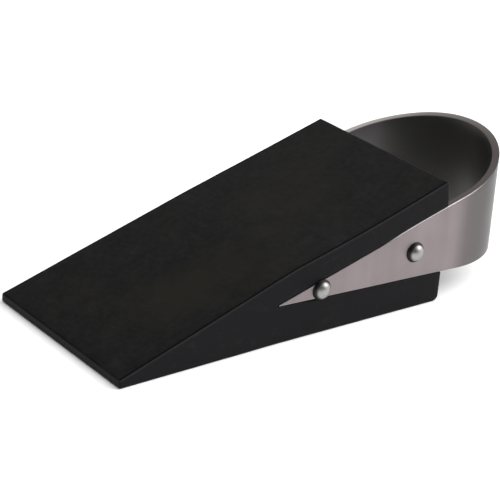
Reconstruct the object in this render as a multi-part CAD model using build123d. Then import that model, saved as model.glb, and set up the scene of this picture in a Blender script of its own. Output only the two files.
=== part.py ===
from build123d import *
from math import asin, cos, sin
import os

# Door wedge: a moulded rubber block with a stainless steel strip bent into a finger loop behind it.
# The strip's legs taper to points, lie flush in V-shaped pockets in the block's two sides, and are
# held by two rivets that pass right through the block. Nothing on it moves.
# Millimetres. +Z is up, the nose points to -Y and the loop to +Y. In the outlines below, distances
# run back from the nose and up from the floor.

# Rubber block
width = 48.0                    # where the strip lies
nose_flare = 0.9                # the nose is wider by this much on each side
flare_start = 44.0              # the sides begin to widen here, towards the nose
flare_round = 500.0
nose_height = 2.1
knee = (47.5, 17.8)             # the ramp eases off here, above the pockets' tips
crest = (90.8, 30.75)           # top corner of the back face
back_lip = (91.7, 23.7)         # the back face leans out down to here
block_length = 91.4             # along the floor
ramp_sag = 0.25                 # the rear ramp is hollow by this much
knee_round = 40.0
corner_round = 0.5
heel_round = 1.5
side_round = 0.25

# Steel strip
strip_thickness = 1.8
strip_tip = (41.9, 9.34)        # where the lines of a leg's two edges meet
upper_slope = 0.2885            # rise of a leg's upper edge, per millimetre back
lower_slope = -0.037
bend_start = 96.5               # the legs are straight up to here
bend_depth = 24.1               # from there back to the outside of the loop
pocket_gap = 0.2                # round a leg, in its pocket
tip_round = 0.15
strip_edge_round = 0.15

# Rivets, in two halves pressed together inside the block
rivet_stations = {"front": 54.7, "rear": 82.4}
rivet_drop = 0.05               # below a leg's centre line
head_diameter = 5.0
head_height = 1.7
tube_diameter = 2.8
post_diameter = 1.8
hole_clearance = 0.1            # on the diameter, through the strip
tube_reach = 14.0               # the tube's open end, beyond the block's middle
post_grip = 12.0                # length of post inside the tube

overall_length = bend_start + bend_depth

# How far the upper edge rises above its straight line: (distance back, rise)
upper_swell = [
    (72.0, 0),
    (80.0, 0.38),
    (88.0, 0.47),
    (97.0, 0.42),
    (105.0, 0.42),
    (113.0, 0.65),
    (overall_length, 1.15),
]
half_width = width / 2
pocket_floor = half_width - strip_thickness


def side_extrusion(outline, x_from, x_to):
    """A side-view outline made solid between two distances across the block."""
    face = Plane.YZ.offset(x_from) * outline
    return extrude(face, amount=x_to - x_from)


def corner(outline, point):
    return outline.vertices().sort_by_distance((point[0], point[1], 0))[0]


def upper_edge(back):
    return strip_tip[1] + upper_slope * (back - strip_tip[0])


def lower_edge(back):
    return strip_tip[1] + lower_slope * (back - strip_tip[0])


def rivet_height(back):
    return (upper_edge(back) + lower_edge(back)) / 2 - rivet_drop


def block_outline():
    """The block's side view: nose, two-part ramp, back face and flat base."""
    nose_bottom, nose_top, heel = (0, 0), (0, nose_height), (block_length, 0)
    sag_point = ((knee[0] + crest[0]) / 2, (knee[1] + crest[1]) / 2 - ramp_sag)
    edges = [
        Line(nose_bottom, nose_top),
        Line(nose_top, knee),
        ThreePointArc(knee, sag_point, crest),
        Line(crest, back_lip),
        Line(back_lip, heel),
        Line(heel, nose_bottom),
    ]
    outline = make_face(edges)
    outline = fillet(corner(outline, knee), knee_round)
    outline = fillet([corner(outline, p) for p in (nose_bottom, nose_top, crest)], corner_round)
    return fillet(corner(outline, heel), heel_round)


def strip_outline(gap=0):
    """The strip in side view, grown by gap: tapered legs, and an upper rim that swells to the back."""
    tip = (strip_tip[0] - gap * 2 / (upper_slope - lower_slope), strip_tip[1] - gap)
    rim = [(back, upper_edge(back) + rise + gap) for back, rise in upper_swell]
    back_bottom = (overall_length, lower_edge(overall_length) - gap)
    outline = make_face([
        Line(tip, rim[0]),
        Spline(*rim, tangents=[(1, upper_slope), (1, upper_slope + 0.08)]),
        Line(rim[-1], back_bottom),
        Line(back_bottom, tip),
    ])
    return fillet(corner(outline, tip), tip_round)


def loop_plan(inset):
    """The strip seen from above, filled in: straight legs that run into half an ellipse."""
    straight = Pos(0, bend_start / 2) * Rectangle(2 * (half_width - inset), bend_start)
    bend = Pos(0, bend_start) * Ellipse(half_width - inset, bend_depth - inset)
    return straight + bend


def block_plan():
    """The block seen from above, a little longer than it is: sides that widen towards the nose."""
    nose_half = half_width + nose_flare
    corners = [(nose_half, 0), (half_width, flare_start), (half_width, overall_length)]
    mirrored = [(-x, back) for x, back in reversed(corners)]
    plan = make_face(Polyline(*corners, *mirrored, close=True))
    bends = [corner(plan, (x, flare_start)) for x in (-half_width, half_width)]
    return fillet(bends, flare_round)


def make_block():
    widest = half_width + nose_flare
    block = side_extrusion(block_outline(), -widest, widest)
    block &= extrude(block_plan(), amount=overall_length)
    sides = block.faces().filter_by(lambda face: abs(face.normal_at().X) > 0.9)
    rims = [edge for edge in block.edges() if sum(edge in face.edges() for face in sides) == 1]
    block = fillet(rims, side_round)
    pocket = strip_outline(pocket_gap)
    block -= side_extrusion(pocket, pocket_floor, half_width + 1)
    block -= side_extrusion(pocket, -half_width - 1, -pocket_floor)
    for back in rivet_stations.values():
        block -= cross_cylinder(back, tube_diameter, -half_width, half_width)
    return block


def make_strip():
    tall = 2 * overall_length
    wall = extrude(loop_plan(0) - loop_plan(strip_thickness), amount=tall, both=True)
    strip = wall & side_extrusion(strip_outline(), -half_width, half_width)
    strip = fillet(strip.edges(), strip_edge_round)
    for back in rivet_stations.values():
        strip -= cross_cylinder(back, tube_diameter + hole_clearance, -half_width - 1, half_width + 1)
    return strip


def cross_cylinder(back, diameter, x_from, x_to):
    """A round bar lying across the block, at the height of a rivet."""
    base = Plane.YZ.offset(x_from) * Pos(back, rivet_height(back)) * Circle(diameter / 2)
    return extrude(base, amount=x_to - x_from)


def make_rivet_half(back, side, shank):
    """Half a rivet, turned about its axis. shank lists (radius, distance across the block) from
    the underside of the head inwards, then back along the axis. side is the head's, +1 or -1."""
    radius = head_diameter / 2
    ball_radius = (radius ** 2 + head_height ** 2) / (2 * head_height)
    half_angle = asin(radius / ball_radius) / 2
    crown = (0, half_width + head_height)
    shoulder = (ball_radius * sin(half_angle), crown[1] - ball_radius * (1 - cos(half_angle)))
    dome = ThreePointArc(crown, shoulder, (radius, half_width))
    section = make_face([dome, Polyline((radius, half_width), *shank, crown)])
    turned = revolve(section, Axis.Y)
    return Pos(0, back, rivet_height(back)) * Rot(0, 0, -90 * side) * turned


def make_rivet_tube(back):
    """The hollow half, with its head on the +X side."""
    bore_end = post_grip + 1 - tube_reach
    shank = [
        (tube_diameter / 2, half_width),
        (tube_diameter / 2, -tube_reach),
        (post_diameter / 2, -tube_reach),
        (post_diameter / 2, bore_end),
        (0, bore_end),
    ]
    return make_rivet_half(back, 1, shank)


def make_rivet_post(back):
    """The solid half, with its head on the -X side. Its post is pressed into the tube."""
    post_end = tube_reach - post_grip
    shank = [
        (tube_diameter / 2, half_width),
        (tube_diameter / 2, tube_reach),
        (post_diameter / 2, tube_reach),
        (post_diameter / 2, post_end),
        (0, post_end),
    ]
    return make_rivet_half(back, -1, shank)


parts = {"rubber_wedge": make_block(), "steel_band": make_strip()}
for name, back in rivet_stations.items():
    parts[name + "_rivet_tube"] = make_rivet_tube(back)
    parts[name + "_rivet_post"] = make_rivet_post(back)

# The origin goes under the middle of the whole object, on the floor.
os.makedirs("parts", exist_ok=True)
for name, shape in parts.items():
    export_step(Pos(0, -overall_length / 2, 0) * shape, f"parts/{name}.step")
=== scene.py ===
import math
import bmesh
import bpy
from mathutils import Matrix, Vector, noise


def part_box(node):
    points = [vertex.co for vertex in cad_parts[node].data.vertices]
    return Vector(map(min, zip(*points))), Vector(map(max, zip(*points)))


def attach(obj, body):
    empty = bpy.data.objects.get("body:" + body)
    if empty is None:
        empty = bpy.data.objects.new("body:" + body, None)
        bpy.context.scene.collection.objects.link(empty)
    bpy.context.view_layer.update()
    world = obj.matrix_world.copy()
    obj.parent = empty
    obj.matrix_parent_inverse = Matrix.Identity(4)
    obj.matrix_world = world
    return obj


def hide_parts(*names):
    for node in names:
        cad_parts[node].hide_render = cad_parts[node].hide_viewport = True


# A rubber door wedge with a stainless strip riveted into its sides and bent into a finger loop.
# Metres, nose towards -Y, loop towards +Y, floor at zero. In outlines, "back" is measured from
# the nose and height from the floor.

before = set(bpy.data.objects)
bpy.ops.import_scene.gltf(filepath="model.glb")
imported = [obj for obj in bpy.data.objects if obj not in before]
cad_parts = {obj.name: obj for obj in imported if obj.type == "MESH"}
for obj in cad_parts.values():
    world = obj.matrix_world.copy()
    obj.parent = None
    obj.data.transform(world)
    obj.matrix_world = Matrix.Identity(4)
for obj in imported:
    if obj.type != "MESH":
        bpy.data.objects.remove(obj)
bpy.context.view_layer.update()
print("frame loaded:", ", ".join(sorted(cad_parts)))

mm = 0.001
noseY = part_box("rubber_wedge")[0].y
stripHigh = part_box("steel_band")[1]
halfWidth = stripHigh.x


class Wire:
    # a node's output that can be added, multiplied and so on, as if it were a number
    def __init__(self, tree, socket):
        self.tree = tree
        self.socket = socket

    def maths(self, operation, first, second):
        return self.tree.node("ShaderNodeMath", {"operation": operation}, {0: first, 1: second})

    def __add__(self, other):
        return self.maths("ADD", self, other)

    def __sub__(self, other):
        return self.maths("SUBTRACT", self, other)

    def __rsub__(self, other):
        return self.maths("SUBTRACT", other, self)

    def __mul__(self, other):
        return self.maths("MULTIPLY", self, other)

    def __abs__(self):
        return self.maths("ABSOLUTE", self, 0)

    __radd__ = __add__
    __rmul__ = __mul__


class NodeTree:
    def __init__(self, tree):
        self.tree = tree

    def node(self, kind, settings=None, inputs=None, output=0):
        # adds a node, makes its settings, then feeds its inputs
        made = self.tree.nodes.new(kind)
        for name, value in (settings or {}).items():
            if name == "stops":
                self.setStops(made.color_ramp, value)
            else:
                setattr(made, name, value)
        for name, value in (inputs or {}).items():
            self.feed(made.inputs[name], value)
        return Wire(self, made.outputs[output])

    def feed(self, socket, value):
        if isinstance(value, Wire):
            self.tree.links.new(value.socket, socket)
        else:
            socket.default_value = value

    def setStops(self, ramp, stops):
        while len(ramp.elements) < len(stops):
            ramp.elements.new(0.5)
        for element, (place, level) in zip(ramp.elements, stops):
            element.position = place
            element.color = (level, level, level, 1)

    def parts(self, vector):
        # a vector's x, y and z
        split = self.node("ShaderNodeSeparateXYZ", {}, {0: vector})
        return [Wire(self, socket) for socket in split.socket.node.outputs]

    def ramp(self, value, stops):
        return self.node("ShaderNodeValToRGB", {"stops": stops}, {0: value})

    def blendColour(self, mask, first, second):
        inputs = {"Factor": mask, 6: first, 7: second}
        return self.node("ShaderNodeMix", {"data_type": "RGBA"}, inputs, output=2)


class Finish(NodeTree):
    # one material and the nodes that make it
    def __init__(self, name):
        self.material = bpy.data.materials.new(name)
        self.material.use_nodes = True
        super().__init__(self.material.node_tree)

    def place(self, stretch=(1, 1, 1)):
        # where the point is on the object, in millimetres, stretched along each axis
        where = self.node("ShaderNodeTexCoord", output="Object")
        scale = [s / mm for s in stretch]
        return self.node("ShaderNodeVectorMath", {"operation": "MULTIPLY"}, {0: where, 1: scale})

    def plan(self):
        # millimetres across from the middle, and back from the nose
        x, y = self.parts(self.place())[:2]
        return x, y - noseY / mm

    def facing(self):
        # the x, y and z of the direction that the surface faces
        return self.parts(self.node("ShaderNodeTexCoord", output="Normal"))

    def noise(self, size, detail=3, rough=0.5, stretch=(1, 1, 1), shift=0):
        # a noise from 0 to 1 whose lumps are about size millimetres across
        where = self.place([s / size for s in stretch])
        where = self.node("ShaderNodeVectorMath", {"operation": "ADD"}, {0: where, 1: [shift] * 3})
        inputs = {"Vector": where, "Scale": 1, "Detail": detail, "Roughness": rough}
        return self.node("ShaderNodeTexNoise", {}, inputs)

    def bump(self, height, depth, strength=1.0, under=None):
        inputs = {"Height": height, "Distance": depth, "Strength": strength}
        if under:
            inputs["Normal"] = under
        return self.node("ShaderNodeBump", {}, inputs)

    def set(self, **values):
        shader = self.tree.nodes["Principled BSDF"]
        for name, value in values.items():
            self.feed(shader.inputs[name.replace("_", " ")], value)
        return self.material


def roundCorner(before, corner, after, radius, steps):
    # points of the arc that rounds one corner of an outline
    inward = (before - corner).normalized()
    outward = (after - corner).normalized()
    half = inward.angle(outward) / 2
    centre = corner + (inward + outward).normalized() * radius / math.sin(half)
    start = corner + inward * radius / math.tan(half) - centre
    end = corner + outward * radius / math.tan(half) - centre
    sweep = math.pi - 2 * half
    points = []
    for i in range(steps + 1):
        turned = sweep * i / steps
        blend = start * math.sin(sweep - turned) + end * math.sin(turned)
        points.append(centre + blend / math.sin(sweep))
    return points


def roundedOutline(corners):
    # corners are (back, height, radius, steps); a radius of nothing leaves the corner sharp
    points = []
    places = [Vector(c[:2]) for c in corners]
    for i, corner in enumerate(corners):
        radius, steps = corner[2:]
        if radius:
            after = places[(i + 1) % len(places)]
            points += roundCorner(places[i - 1], places[i], after, radius, steps)
        else:
            points.append(places[i])
    return points


def loftedSolid(bm, rings):
    # joins closed rings of points with quads and caps both ends
    made = [[bm.verts.new(p) for p in ring] for ring in rings]
    count = len(made[0])
    for one, two in zip(made, made[1:]):
        for i in range(count):
            j = (i + 1) % count
            bm.faces.new((one[i], one[j], two[j], two[i]))
    bm.faces.new(made[0])
    bm.faces.new(reversed(made[-1]))
    bmesh.ops.recalc_face_normals(bm, faces=bm.faces[:])


def across(outline, x):
    # a side-view outline put at one distance across the block
    return [(x, noseY + p.x, p.y) for p in outline]


def meshObject(name, bm):
    mesh = bpy.data.meshes.new(name)
    bm.to_mesh(mesh)
    bm.free()
    made = bpy.data.objects.new(name, mesh)
    bpy.context.scene.collection.objects.link(made)
    return made


def carve(piece, cutters):
    # cuts the cutters out of the piece and throws them away
    for cutter in cutters:
        cut = piece.modifiers.new("cut", "BOOLEAN")
        cut.operation = "DIFFERENCE"
        cut.solver = "EXACT"
        cut.object = cutter
    bpy.context.view_layer.update()
    evaluated = piece.evaluated_get(bpy.context.evaluated_depsgraph_get())
    carved = bpy.data.meshes.new_from_object(evaluated)
    piece.modifiers.clear()
    piece.data = carved
    for cutter in cutters:
        bpy.data.objects.remove(cutter)


def sliceEvenly(bm, spacing):
    # cuts every face along a regular grid, so that the flats have points to shape
    weldDistance = 1e-7
    low = [min(v.co[axis] for v in bm.verts) for axis in range(3)]
    high = [max(v.co[axis] for v in bm.verts) for axis in range(3)]
    for axis in range(3):
        steps = max(1, round((high[axis] - low[axis]) / spacing))
        for i in range(1, steps):
            point = Vector()
            normal = Vector()
            point[axis] = low[axis] + (high[axis] - low[axis]) * i / steps
            normal[axis] = 1
            everything = bm.verts[:] + bm.edges[:] + bm.faces[:]
            bmesh.ops.bisect_plane(
                bm, geom=everything, dist=weldDistance, plane_co=point, plane_no=normal
            )


def smoothShade(piece, angle):
    piece.data.polygons.foreach_set("use_smooth", [True] * len(piece.data.polygons))
    piece.data.set_sharp_from_angle(angle=math.radians(angle))


def finishPiece(piece, material, nodes):
    piece.data.materials.clear()
    piece.data.materials.append(material)
    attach(piece, "root")
    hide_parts(*nodes)


def smoothStep(value, low, high):
    t = min(1, max(0, (value - low) / (high - low)))
    return t * t * (3 - 2 * t)


strip = {
    "thickness": 1.8 * mm,
    "tip": (41.9 * mm, 9.34 * mm),      # where the lines of a leg's edges meet
    "upperSlope": 0.2885,
    "lowerSlope": -0.037,
    "bendStart": 96.5 * mm,
    # how far the upper edge rises above its straight line: (back, rise), in millimetres
    "swell": [(72, 0), (80, 0.38), (88, 0.47), (97, 0.42), (105, 0.42), (113, 0.65), (120.6, 1.15)],
    "swellStart": 0.04,                 # its slope where it begins
    "tipRound": 0.15 * mm,
    "legEdge": 0.12 * mm,               # rounding of the legs' edges, which lie in the pockets
    "loopEdge": 0.18 * mm,              # and of the loop's, which are handled
    "edgeEases": (72.0 * mm, 80.0 * mm),    # where the one becomes the other
    "legStep": 1.5 * mm,                # distance between stations along the legs
    "bendSteps": 96,
    "faceSteps": 10,
    "edgeSteps": 4,
    "ripple": 0.02 * mm,                # unevenness of the bent faces
    "ripples": 90,                      # how many to a metre
    "sharpAbove": 30,                   # degrees
    "satin": ((0.220, 0.190, 0.196, 1), (0.252, 0.218, 0.225, 1)),
    "bendShade": (0.138, 0.123, 0.124, 1),                          # painted shade round the bend
    "turned": (0.046, 0.0415, 0.042, 1),                            # deeper painted shade on its two shoulders
    "cutEdgeLitShaded": ((0.76, 0.71, 0.68, 1), (0.18, 0.158, 0.148, 1)),    # painted light on the -X side, painted shade on the +X side
    "cornerHighlight": (0.80, 0.78, 0.76, 1),                             # painted highlight on the edge's outer corner
    "inside": ((0.165, 0.155, 0.157, 1), (0.165, 0.162, 0.152, 1)),  # painted shade on the inner face: legs, loop
    "roughness": 0.28,
    "grain": (0.12, 0.005 * mm, 0.6),   # millimetres between lines, their depth, strength
}


def upperEdge(back):
    return strip["tip"][1] + strip["upperSlope"] * (back - strip["tip"][0])


def lowerEdge(back):
    return strip["tip"][1] + strip["lowerSlope"] * (back - strip["tip"][0])


def tipCircle(radius):
    # centre of the circle of that radius that touches both edges of a leg at its tip
    rise, fall = math.atan(strip["upperSlope"]), math.atan(strip["lowerSlope"])
    reach = radius / math.sin((rise - fall) / 2)
    lean = (rise + fall) / 2
    return Vector((strip["tip"][0] + reach * math.cos(lean), strip["tip"][1] + reach * math.sin(lean)))


def swellAt(back):
    # rise of the upper edge above its straight line, a smooth curve through the listed points
    table = [(b * mm, rise * mm) for b, rise in strip["swell"]]
    if back <= table[0][0]:
        return 0
    i = 0
    while i < len(table) - 2 and back > table[i + 1][0]:
        i += 1
    (b0, r0), (b1, r1) = table[i], table[i + 1]
    before, after = table[max(0, i - 1)], table[min(len(table) - 1, i + 2)]
    startSlope = (r1 - before[1]) / (b1 - before[0]) if i else strip["swellStart"]
    endSlope = (after[1] - r0) / (after[0] - b0)
    run = b1 - b0
    t = (back - b0) / run
    rise = r0 + (r1 - r0) * t * t * (3 - 2 * t)
    return rise + run * t * (1 - t) * (startSlope * (1 - t) - endSlope * t)


def stripHeights(back):
    # lowest and highest point of the strip this far back
    low, high = lowerEdge(back), upperEdge(back) + swellAt(back)
    centre = tipCircle(strip["tipRound"])
    ahead = centre.x - back
    if ahead > 0:
        bulge = math.sqrt(max(0, strip["tipRound"] ** 2 - ahead ** 2))
        low, high = max(low, centre.y - bulge), min(high, centre.y + bulge)
    return low, high


def stripPath():
    # (outer point, inner point) in plan, from one tip round the loop to the other
    inset = strip["thickness"]
    depth = stripHigh.y - noseY - strip["bendStart"]
    front = tipCircle(strip["tipRound"]).x - strip["tipRound"]
    tipStations = (0.02, 0.15, 0.4, 0.7, 1.0, 1.6)      # close together, round the tip
    backs = [front + strip["tipRound"] * t for t in tipStations]
    steps = math.ceil((strip["bendStart"] - backs[-1]) / strip["legStep"])
    backs += [backs[-1] + (strip["bendStart"] - backs[-1]) * i / steps for i in range(1, steps)]
    leg = [(Vector((halfWidth, b)), Vector((halfWidth - inset, b))) for b in backs]
    bend = []
    for i in range(strip["bendSteps"] + 1):
        angle = math.pi * i / strip["bendSteps"]
        outer = Vector((halfWidth * math.cos(angle), depth * math.sin(angle)))
        inner = Vector(((halfWidth - inset) * math.cos(angle), (depth - inset) * math.sin(angle)))
        start = Vector((0, strip["bendStart"]))
        bend.append((start + outer, start + inner))
    farLeg = [(Vector((-a.x, a.y)), Vector((-b.x, b.y))) for a, b in reversed(leg)]
    return leg + bend + farLeg


def stripRing(outer, inner):
    # the strip's cross-section at one station: a rounded rectangle, outer face first
    low, high = stripHeights(outer.y)
    height = high - low
    thickness = strip["thickness"]
    eased = smoothStep(outer.y, *strip["edgeEases"])
    edge = strip["legEdge"] + (strip["loopEdge"] - strip["legEdge"]) * eased
    radius = min(edge, height * 0.45)   # near the tip the strip is too low for a full rounding
    span = height - 2 * radius
    steps = strip["edgeSteps"]
    corners = []
    for turn, (side, level) in enumerate(((0, 1), (1, 1), (1, 0), (0, 0))):
        centreDepth = radius + side * (thickness - 2 * radius)
        centreRise = radius + level * span
        for k in range(steps + 1):
            angle = math.pi - math.pi / 2 * (turn + k / steps)
            depth = centreDepth + radius * math.cos(angle)
            corners.append((depth, centreRise + radius * math.sin(angle)))
    rows = strip["faceSteps"]
    innerFace = [(thickness, height - radius - span * k / rows) for k in range(1, rows)]
    outerFace = [(0, radius + span * k / rows) for k in range(1, rows)]
    half = len(corners) // 2
    ring = []
    for depth, rise in corners[:half] + innerFace + corners[half:] + outerFace:
        point = outer.lerp(inner, depth / thickness)
        base, top = stripHeights(point.y)
        ring.append((point.x, noseY + point.y, base + (top - base) * rise / height))
    return ring


def crossBar(name, back, height, diameter, xFrom, xTo, segments=32):
    # a round bar lying across the block, used to cut rivet holes
    bm = bmesh.new()
    radius = diameter / 2
    circle = []
    for i in range(segments):
        angle = 2 * math.pi * i / segments
        circle.append(Vector((back + radius * math.cos(angle), height + radius * math.sin(angle))))
    loftedSolid(bm, [across(circle, xFrom), across(circle, xTo)])
    return meshObject(name, bm)


def markDepth(piece):
    # writes how deep each point lies in the strip's thickness: 0 on the outer face, 1 on the inner
    depth = stripHigh.y - noseY - strip["bendStart"]
    marks = piece.data.attributes.new("depth", "FLOAT", "POINT")
    for vert, mark in zip(piece.data.vertices, marks.data):
        past = vert.co.y - noseY - strip["bendStart"]
        reach = abs(vert.co.x)
        if past > 0:
            reach = halfWidth * math.hypot(vert.co.x / halfWidth, past / depth)
        mark.value = (halfWidth - reach) / strip["thickness"]


def steelFinish():
    # satin outside, with painted shade round the bend; a sheared edge painted light on its -X side and
    # dark on its +X side, with a painted highlight on its outer corner; and a face inside the loop
    # painted darker and greyer as shade
    finish = Finish("satinSteel")
    depth = finish.node("ShaderNodeAttribute", {"attribute_name": "depth"}, output="Fac")
    inside = finish.ramp(depth, [(0.88, 0), (0.97, 1)])
    onEdge = finish.ramp(depth, [(0.04, 0), (0.14, 1), (0.88, 1), (0.97, 0)])
    x, back = finish.plan()
    upward = finish.ramp(finish.facing()[2], [(0.15, 0), (0.35, 1)])
    lineGap, grainDepth, grainStrength = strip["grain"]
    # painted shade: the outer face darkens round the bend, and more deeply on the loop's two shoulders
    bent = finish.ramp((back - 90) * 0.1, [(0.45, 0), (0.85, 1)])
    turned = finish.ramp((back - 96) * 0.04, [(0.10, 0), (0.50, 1), (0.75, 1), (1, 0.2)])
    grain = finish.noise(lineGap, detail=4, rough=0.6, stretch=(0.012, 0.012, 1))
    cloud = finish.noise(11, detail=3)
    bands = finish.noise(3.5, detail=2, stretch=(1, 1, 0.08), shift=4)
    smear = finish.noise(5, detail=3, stretch=(0.5, 0.5, 1), shift=11)
    # painted highlight: a bright, less metallic line on the upward outer corner of the edge, from the
    # legs into the start of the bend
    corner = finish.ramp(depth, [(0.01, 0), (0.03, 1), (0.12, 1), (0.18, 0)])
    line = corner * upward * finish.ramp((back - 70) * 0.02, [(0.04, 0), (0.14, 1), (0.50, 1), (0.66, 0)])
    tone = finish.ramp(cloud * 0.6 + bands * 0.4, [(0.38, 0), (0.62, 1)])
    colour = finish.blendColour(tone, *strip["satin"])
    colour = finish.blendColour(bent * (0.75 + bands * 0.4), colour, strip["bendShade"])
    colour = finish.blendColour(turned, colour, strip["turned"])
    # painted light and shade: the sheared edge is light on its -X side and dark on its +X side
    side = finish.ramp(x * 0.02 + 0.5, [(0.06, 0), (0.24, 0.56), (0.80, 1)])
    hollow = finish.ramp((back - 96) * 0.05, [(0.52, 0), (0.62, 1)])
    colour = finish.blendColour(onEdge, colour, finish.blendColour(side, *strip["cutEdgeLitShaded"]))
    # painted shade: the inner face is darker than the outside
    colour = finish.blendColour(inside, colour, finish.blendColour(hollow, *strip["inside"]))
    colour = finish.blendColour(line * (0.6 + smear * 0.8), colour, strip["cornerHighlight"])
    rough = strip["roughness"] + grain * 0.08 + smear * 0.06 + onEdge * 0.05 + inside * 0.04
    metal = 1 - inside * (0.40 - hollow * 0.23) - line * 0.6
    uneven = finish.bump(grain * (1 - inside * 0.85), grainDepth, grainStrength)
    return finish.set(Base_Color=colour, Metallic=metal, Roughness=rough, Normal=uneven)


def makeStrip(rivetBacks, holeDiameter):
    bm = bmesh.new()
    loftedSolid(bm, [stripRing(outer, inner) for outer, inner in stripPath()])
    bm.normal_update()
    for vert in bm.verts:
        if vert.co.y > noseY + strip["bendStart"]:
            vert.co += vert.normal * strip["ripple"] * noise.noise(vert.co * strip["ripples"])
    piece = meshObject("steelStrip", bm)
    bars = []
    for back in rivetBacks:
        bars.append(crossBar("bar", back, rivetHeight(back), holeDiameter, -2 * halfWidth, 2 * halfWidth))
    carve(piece, bars)
    markDepth(piece)
    smoothShade(piece, strip["sharpAbove"])
    finishPiece(piece, steelFinish(), ["steel_band"])


rivet = {
    "stations": {"front": 54.7 * mm, "rear": 82.4 * mm},
    "drop": 0.05 * mm,                  # below a leg's centre line
    "headDiameter": 5.0 * mm,
    "tubeDiameter": 2.8 * mm,
    "postDiameter": 1.8 * mm,
    "holeClearance": 0.1 * mm,
    "tubeReach": 14.0 * mm,             # the tube's open end, beyond the block's middle
    "postGrip": 12.0 * mm,              # length of post inside the tube
    "boreSpare": 1.0 * mm,              # the bore goes this much deeper
    "lip": 0.15 * mm,                   # upright edge round a head's foot
    "core": 0.01 * mm,                  # hole left in the middle of a bore's or a post's end
    "segments": 64,
    "domeSteps": 18,
    "dent": 0.02 * mm,                  # unevenness of the domes
    "dents": 500,                       # how many to a metre
    "sharpAbove": 40,                   # degrees
    "bright": ((0.30, 0.292, 0.289, 1), (0.37, 0.361, 0.357, 1)),
    # painted shade round the feet of the heads
    "footShade": (0.035, 0.033, 0.032, 1),
    "roughness": 0.30,
}


def rivetHeight(back):
    return (upperEdge(back) + lowerEdge(back)) / 2 - rivet["drop"]


def headRise():
    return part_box("front_rivet_tube")[1].x - halfWidth


def rivetFinish():
    # polished crowns, with painted shade darkening the lower flanks round the feet of the heads
    finish = Finish("polishedSteel")
    x = finish.plan()[0]
    level = (abs(x) - halfWidth / mm) * (mm / headRise())
    haze = finish.noise(1.4, detail=3)
    scratch = finish.noise(0.25, detail=2, stretch=(1, 0.15, 1), shift=5)
    # painted shade: the lower half of each head's flank is darkened towards its foot, standing in for
    # shade and dark reflection there
    footShade = 1 - finish.ramp(level + haze * 0.16 - 0.08, [(0.42, 0), (0.68, 1)])
    colour = finish.blendColour(haze, *rivet["bright"])
    colour = finish.blendColour(footShade, colour, rivet["footShade"])
    rough = rivet["roughness"] + haze * 0.10 + scratch * 0.05 + footShade * 0.20
    uneven = finish.bump(scratch, 0.004 * mm, 0.4)
    return finish.set(Base_Color=colour, Metallic=1.0, Roughness=rough, Normal=uneven)


def turnedPiece(name, profile, side, back, height):
    # profile lists (radius, distance across from the block's middle) from the head's crown inwards
    bm = bmesh.new()
    rings = []
    for radius, distance in profile:
        ring = []
        for i in range(rivet["segments"]):
            angle = 2 * math.pi * i / rivet["segments"]
            y = noseY + back + radius * math.cos(angle)
            ring.append(Vector((side * distance, y, height + radius * math.sin(angle))))
        rings.append(ring)
    loftedSolid(bm, rings)
    crown = profile[0][1]
    shift = Vector((crown, 3, back * 90))               # so that no two heads are dented alike
    for vert in bm.verts:
        if abs(vert.co.x) > halfWidth + rivet["lip"]:
            vert.co += vert.normal * rivet["dent"] * noise.noise(vert.co * rivet["dents"] + shift)
    return meshObject(name, bm)


def headProfile():
    # the dome from its crown to its foot, then in under the head
    radius = rivet["headDiameter"] / 2
    rise = headRise()
    domeRise = rise - rivet["lip"]
    ball = (radius ** 2 + domeRise ** 2) / (2 * domeRise)
    spread = math.asin(min(1, radius / ball))
    crownFlat = 0.12                                    # of a step, so that the first ring has a size
    points = []
    for i in range(rivet["domeSteps"] + 1):
        angle = spread * max(i, crownFlat) / rivet["domeSteps"]
        points.append((ball * math.sin(angle), halfWidth + rise - ball * (1 - math.cos(angle))))
    return points + [(radius, halfWidth)]


def makeRivets():
    material = rivetFinish()
    outer, inner = rivet["tubeDiameter"] / 2, rivet["postDiameter"] / 2
    reach = rivet["tubeReach"]
    postEnd = reach - rivet["postGrip"]
    boreEnd = rivet["boreSpare"] - postEnd
    tube = [(outer, halfWidth), (outer, -reach), (inner, -reach), (inner, boreEnd)]
    post = [(outer, halfWidth), (outer, reach), (inner, reach), (inner, postEnd)]
    for name, back in rivet["stations"].items():
        for kind, shank, side in (("tube", tube, 1), ("post", post, -1)):
            profile = headProfile() + shank + [(rivet["core"], shank[-1][1])]
            piece = turnedPiece(f"{name}Rivet{kind.title()}", profile, side, back, rivetHeight(back))
            smoothShade(piece, rivet["sharpAbove"])
            finishPiece(piece, material, [f"{name}_rivet_{kind}"])


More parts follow.
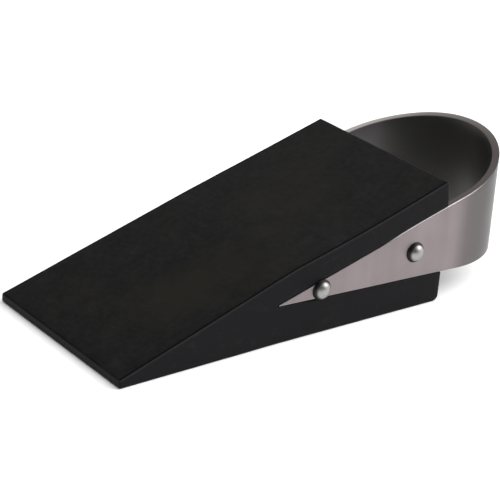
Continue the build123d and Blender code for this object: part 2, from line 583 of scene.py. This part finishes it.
block = {
    "noseHeight": 2.1 * mm,
    "knee": (47.5 * mm, 17.8 * mm),     # where the ramp eases off
    "crest": (90.8 * mm, 30.75 * mm),
    "backLip": (91.7 * mm, 23.7 * mm),
    "length": 91.4 * mm,
    "noseFlare": 0.9 * mm,              # the nose is wider by this much on each side
    "flareStart": 44.0 * mm,
    "flareEase": 5.0 * mm,              # half the length of the bend where it starts
    "rampSag": (0.0 * mm, 0.5 * mm),    # hollow of the rear ramp along its two edges, -X and +X
    "sagDepth": (1.0 * mm, 5.0 * mm),   # the hollow fades between these depths below the ramp
    "kneeRound": 300.0 * mm,            # wide, so that no line shows across the ramp
    "cornerRound": 0.5 * mm,
    "heelRound": 1.5 * mm,
    "sideRound": 0.25 * mm,
    "pocketGap": 0.2 * mm,
    "pocketLip": 0.2 * mm,              # rounding of the pockets' mouths
    "grid": 2.0 * mm,
    # unevenness of the moulded faces, broad and fine: (depth, how many to a metre)
    "waves": [(0.04 * mm, 45), (0.025 * mm, 160)],
    "sharpAbove": 32,                   # degrees
    "black": (0.0026, 0.0026, 0.0028, 1),
    "worn": (0.0072, 0.0071, 0.0070, 1),
    # painted shade: the sides are darker than the top
    "side": (0.0018, 0.0019, 0.0029, 1),
    "dust": (0.0098, 0.0094, 0.0074, 1),
    "scuff": (0.016, 0.0155, 0.0145, 1),
    # painted shade and painted highlight along the ramp's long edges
    "rampEdgeShade": (0.0008, 0.0008, 0.0010, 1),
    "rampEdgeHighlight": (0.0190, 0.0190, 0.0205, 1),
    "roughness": 0.56,
    "gloss": 0.11,
    # where doors have left dust on the ramp: (across, back, half width, half length, strength)
    "dustPatches": [
        (0, 62, 12, 12, 1.0),
        (12, 38, 10, 15, 1.0),
        (9, 22, 8, 9, 0.8),
        (-12, 78, 8, 9, 0.5),
        (-10, 12, 9, 9, 0.4),
        (20, 86, 6, 5, 0.5),
    ],
}


def flareAt(back):
    # how much wider one side is here
    run = block["flareStart"] - back
    ease = block["flareEase"]
    slope = block["noseFlare"] / block["flareStart"]
    if run > ease:
        return slope * run
    return slope * max(0, run + ease) ** 2 / (4 * ease)


def blockRings():
    # the block's side-view outline, lofted across it, with both sides rounded over
    corner = block["cornerRound"]
    sideRound = block["sideRound"]
    turns = 6
    rings = []
    for i in range(turns + 1):
        angle = math.pi / 2 * i / turns
        rings.append((sideRound * (1 - math.cos(angle)), halfWidth - sideRound * (1 - math.sin(angle))))
    rings = [(inset, -x) for inset, x in reversed(rings)] + rings
    corners = [
        Vector((0, 0)),
        Vector((0, block["noseHeight"])),
        Vector(block["knee"]),
        Vector(block["crest"]),
        Vector(block["backLip"]),
        Vector((block["length"], 0)),
    ]
    radii = [corner, corner, block["kneeRound"], corner, 0, block["heelRound"]]
    steps = [6, 6, 6, 6, 0, 8]
    lofted = []
    for inset, x in rings:
        moved = insetCorners(corners, inset)
        sized = [(p.x, p.y, max(0, r - inset) if r else 0, s) for p, r, s in zip(moved, radii, steps)]
        lofted.append(across(roundedOutline(sized), x))
    return lofted


def insetCorners(corners, inset):
    # moves every side of a closed outline inwards by inset (the corners run clockwise)
    lines = []
    for here, there in zip(corners, corners[1:] + corners[:1]):
        along = (there - here).normalized()
        lines.append((here + Vector((along.y, -along.x)) * inset, along))
    moved = []
    for i in range(len(corners)):
        (a, u), (b, v) = lines[i - 1], lines[i]
        cross = u.x * v.y - u.y * v.x
        t = ((b.x - a.x) * v.y - (b.y - a.y) * v.x) / cross
        moved.append(a + u * t)
    return moved


def pocketCutter(side):
    # the space for one leg, with softly flared lips where it meets the block's side
    lip = block["pocketLip"]
    tight = block["pocketGap"]
    floor = halfWidth - strip["thickness"]
    end = stripHigh.y - noseY
    lipSteps, rimSteps, tipSteps = 4, 40, 8
    rings = [(tight, floor), (tight, halfWidth - lip)]
    for i in range(1, lipSteps + 1):
        angle = math.pi / 2 * i / lipSteps
        rings.append((tight + lip * (1 - math.cos(angle)), halfWidth - lip + lip * math.sin(angle)))
    rings.append((tight + lip, halfWidth + lip))
    swellStart = strip["swell"][0][0] * mm
    rim = [end + (swellStart - end) * i / rimSteps for i in range(rimSteps + 1)]
    centre = tipCircle(strip["tipRound"])
    low, high = math.atan(strip["lowerSlope"]), math.atan(strip["upperSlope"])
    lofted = []
    for gap, x in rings:
        radius = strip["tipRound"] + gap
        outline = [Vector((back, upperEdge(back) + swellAt(back) + gap)) for back in rim]
        for i in range(tipSteps + 1):
            angle = math.pi / 2 + high + (math.pi + low - high) * i / tipSteps
            outline.append(centre + radius * Vector((math.cos(angle), math.sin(angle))))
        outline.append(Vector((end, lowerEdge(end) - gap)))
        lofted.append(across(outline, side * x))
    bm = bmesh.new()
    loftedSolid(bm, lofted)
    return meshObject("pocket", bm)


def rampSag(back, x):
    # how hollow the rear ramp is at one point
    knee, crest = block["knee"][0], block["crest"][0]
    run = min(1, max(0, (back - knee) / (crest - knee)))
    farSag, nearSag = block["rampSag"]
    return (farSag + (nearSag - farSag) * (x / halfWidth + 1) / 2) * 4 * run * (1 - run)


def rampHeight(back):
    # height of the ramp's two straight runs
    start, knee, crest = (0, block["noseHeight"]), block["knee"], block["crest"]
    (b0, h0), (b1, h1) = (start, knee) if back < knee[0] else (knee, crest)
    return h0 + (h1 - h0) * (back - b0) / (b1 - b0)


def markEdge(piece):
    # writes millimetres across the ramp's long edges: negative on the ramp, positive down the side
    marks = piece.data.attributes.new("edgeCross", "FLOAT", "POINT")
    for vert, mark in zip(piece.data.vertices, marks.data):
        back = vert.co.y - noseY
        below = rampHeight(back) - rampSag(back, vert.co.x) - vert.co.z
        inset = halfWidth + flareAt(back) - abs(vert.co.x)
        mark.value = (max(0, below) - max(0, inset)) / mm


def settleBlock(bm):
    # widens the nose, hollows the rear ramp a little, and makes every face slightly uneven
    shallow, deep = block["sagDepth"]
    (broadDepth, broadWaves), (fineDepth, fineWaves) = block["waves"]
    fineShift = Vector((4, 1, 7))
    bm.normal_update()
    for vert in bm.verts:
        back = vert.co.y - noseY
        below = rampHeight(back) - vert.co.z
        vert.co.z -= rampSag(back, vert.co.x) * (1 - smoothStep(below, shallow, deep))
        outward = smoothStep(abs(vert.co.x), 0, halfWidth)
        broad = noise.noise(vert.co * broadWaves) * broadDepth
        fine = noise.noise(vert.co * fineWaves + fineShift) * fineDepth
        vert.co += vert.normal * (broad + fine)
        vert.co.x += math.copysign(flareAt(back) * outward, vert.co.x)
        vert.co.z = max(0, vert.co.z)


def dustMask(finish, across, back):
    # soft ovals on the ramp, the more dust the nearer to their middles
    total = 0
    for middle, along, halfAcross, halfAlong, strength in block["dustPatches"]:
        u = (across - middle) * (1 / halfAcross)
        v = (back - along) * (1 / halfAlong)
        total = finish.ramp(1 - (u * u + v * v) * 0.5, [(0, 0), (1, strength)]) + total
    return total


def rubberFinish():
    # matt black, with dust where doors have rubbed it, and a painted shade line and a painted highlight
    # line along the ramp's two edges
    finish = Finish("blackRubber")
    x, back = finish.plan()
    facing = finish.facing()
    upward = finish.ramp(facing[2], [(0.5, 0), (0.8, 1)])
    sideways = abs(facing[0])
    cloud = finish.noise(13, detail=5, rough=0.62)
    smudge = finish.noise(5, detail=5, rough=0.65, stretch=(1, 0.7, 1), shift=21)
    scuff = finish.noise(1.6, detail=4, rough=0.7, stretch=(0.35, 1, 1), shift=7)
    mottle = finish.noise(1.3, detail=4, rough=0.65, shift=13)
    pores = finish.noise(0.35, detail=3, rough=0.6)
    dusty = (dustMask(finish, x, back) * 0.50 + cloud * 0.9 + smudge * 0.8) * upward
    dust = finish.ramp(dusty * 0.5 + mottle * 0.1, [(0.50, 0), (0.86, 1)])
    marks = finish.ramp(scuff * (smudge + 0.25), [(0.44, 0), (0.58, 1)])
    mottled = finish.ramp(mottle * 0.7 + smudge * 0.3, [(0.38, 0), (0.62, 1)])
    colour = finish.blendColour(mottled, block["black"], block["worn"])
    # painted shade on the faces that look sideways
    colour = finish.blendColour(sideways, colour, block["side"])
    colour = finish.blendColour(dust, colour, block["dust"])
    colour = finish.blendColour(marks * 0.5, colour, block["scuff"])
    # the edge lines keep off the nose, the back and the underside
    edge = finish.node("ShaderNodeAttribute", {"attribute_name": "edgeCross"}, output="Fac")
    edge = (edge + 0.1 * mottle) * 0.5 + 0.5
    lengthways = finish.ramp(abs(facing[1]), [(0.42, 1), (0.60, 0)])
    lengthways = lengthways * finish.ramp(facing[2] * 0.5 + 0.5, [(0.25, 0), (0.40, 1)])
    # painted shade on the ramp's edge, and a painted highlight just down the side
    dark = finish.ramp(edge, [(0.20, 0), (0.32, 1), (0.52, 1), (0.57, 0)]) * lengthways
    pale = finish.ramp(edge, [(0.54, 0), (0.62, 1), (0.74, 0.7), (0.92, 0)]) * lengthways
    colour = finish.blendColour(dark * (0.6 + smudge * 0.6), colour, block["rampEdgeShade"])
    colour = finish.blendColour(pale * (smudge + 0.2), colour, block["rampEdgeHighlight"])
    rough = block["roughness"] + dust * 0.12 + marks * 0.08 + dark * 0.3 - pores * 0.06
    grain = finish.bump(pores, 0.012 * mm, 0.6)
    wavy = finish.bump(smudge, 0.05 * mm, 0.5, under=grain)
    return finish.set(Base_Color=colour, Roughness=rough, Normal=wavy, Specular_IOR_Level=block["gloss"])


def makeBlock():
    bm = bmesh.new()
    loftedSolid(bm, blockRings())
    piece = meshObject("rubberWedge", bm)
    cutters = [pocketCutter(1), pocketCutter(-1)]
    for back in rivet["stations"].values():
        reach = halfWidth - strip["thickness"] / 2
        cutters.append(crossBar("bore", back, rivetHeight(back), rivet["tubeDiameter"], -reach, reach))
    carve(piece, cutters)
    bm = bmesh.new()
    bm.from_mesh(piece.data)
    sliceEvenly(bm, block["grid"])
    settleBlock(bm)
    bm.to_mesh(piece.data)
    bm.free()
    markEdge(piece)
    smoothShade(piece, block["sharpAbove"])
    finishPiece(piece, rubberFinish(), ["rubber_wedge"])


makeBlock()
print("rubber block made")
makeStrip(rivet["stations"].values(), rivet["tubeDiameter"] + rivet["holeClearance"])
print("steel strip made")
makeRivets()
print("rivets made")


studio = {
    "floorSize": 6.0,
    "floorTone": (0.93, 0.93, 0.93, 1),
    "floorDrop": 0.1 * mm,                      # a hair below the base
    "backdrop": (0.95, 0.95, 0.95, 1),          # what the camera sees above the floor
    "paleRoom": (0.66, 0.65, 0.64, 1),          # what the object sees beyond its tail
    "paleSide": (-0.35, 0.85),                  # towards the middle of the pale part, in plan
    "darkRoom": (0.045, 0.045, 0.047, 1),       # and beyond its nose, and overhead
    "glow": (3.8, 3.8, 3.8, 1),                 # a soft bright patch behind, to the right
    "glowFrom": (148, 36),                      # its azimuth and elevation
    # name: (azimuth, elevation, distance, width, height, power, shows in reflections)
    "lamps": {
        "keyBehind": (152, 35, 0.9, 0.50, 0.36, 2.9, True),
        "overhead": (60, 75, 1.6, 2.1, 2.1, 28.0, False),
    },
}


def makeFloor():
    bm = bmesh.new()
    bmesh.ops.create_grid(bm, x_segments=8, y_segments=8, size=studio["floorSize"] / 2)
    floor = meshObject("floor", bm)
    floor.location.z = -studio["floorDrop"]
    finish = Finish("paleFloor")
    mottle = finish.noise(400, detail=2)
    floor.data.materials.append(finish.set(Base_Color=studio["floorTone"], Roughness=0.85 + mottle * 0.1))


def direction(azimuth, elevation):
    # towards an azimuth measured from the nose's side round to the right, and an elevation
    a, e = math.radians(azimuth), math.radians(elevation)
    return Vector((math.sin(a) * math.cos(e), -math.cos(a) * math.cos(e), math.sin(e)))


def makeRoom():
    # a pale room behind the object and a dark one in front, as its polished parts reflect it
    world = bpy.data.worlds.new("studioRoom")
    bpy.context.scene.world = world
    world.use_nodes = True
    room = NodeTree(world.node_tree)
    x, y, z = room.parts(room.node("ShaderNodeTexCoord", output="Generated"))
    paleX, paleY = studio["paleSide"]
    pale = room.ramp((x * paleX + y * paleY) * 0.5 + 0.5, [(0.48, 0), (0.80, 1)])
    tone = room.blendColour(pale, studio["darkRoom"], studio["paleRoom"])
    towards = direction(*studio["glowFrom"])
    near = (x * towards.x + y * towards.y + z * towards.z) * 0.5 + 0.5
    near = room.ramp(near, [(0.84, 0), (0.95, 0.25), (0.99, 1)])
    tone = room.blendColour(near, tone, studio["glow"])
    seen = room.node("ShaderNodeLightPath", output="Is Camera Ray")
    tone = room.blendColour(seen, tone, studio["backdrop"])
    room.feed(world.node_tree.nodes["Background"].inputs["Color"], tone)


def makeLamps():
    for name, (azimuth, elevation, distance, width, height, power, reflected) in studio["lamps"].items():
        data = bpy.data.lights.new(name, "AREA")
        data.shape = "RECTANGLE"
        data.size = width
        data.size_y = height
        data.energy = power
        lamp = bpy.data.objects.new(name, data)
        bpy.context.scene.collection.objects.link(lamp)
        lamp.visible_glossy = reflected
        towards = direction(azimuth, elevation)
        lamp.location = towards * distance
        lamp.rotation_mode = "QUATERNION"
        lamp.rotation_quaternion = towards.to_track_quat("Z", "Y")


camera = {
    "azimuth": 51.781,
    "elevation": 23.586,
    "roll": 4.126,
    "distance": 457.45 * mm,
    "lens": 139.33,
    "clipStart": 10 * mm,
    "aim": Vector((-2.248, -6.357, 10.603)) * mm,
}


def makeCamera():
    data = bpy.data.cameras.new("camera")
    data.lens = camera["lens"]
    data.clip_start = camera["clipStart"]
    view = bpy.data.objects.new("camera", data)
    bpy.context.scene.collection.objects.link(view)
    back = direction(camera["azimuth"], camera["elevation"])
    view.location = camera["aim"] + back * camera["distance"]
    level = back.to_track_quat("Z", "Y").to_matrix()
    view.matrix_world = Matrix.Translation(view.location) @ (
        level @ Matrix.Rotation(math.radians(camera["roll"]), 3, "Z")
    ).to_4x4()
    bpy.context.scene.camera = view


makeFloor()
makeRoom()
makeLamps()
makeCamera()
bpy.context.scene.view_settings.view_transform = "Standard"
print("floor, light and camera made")
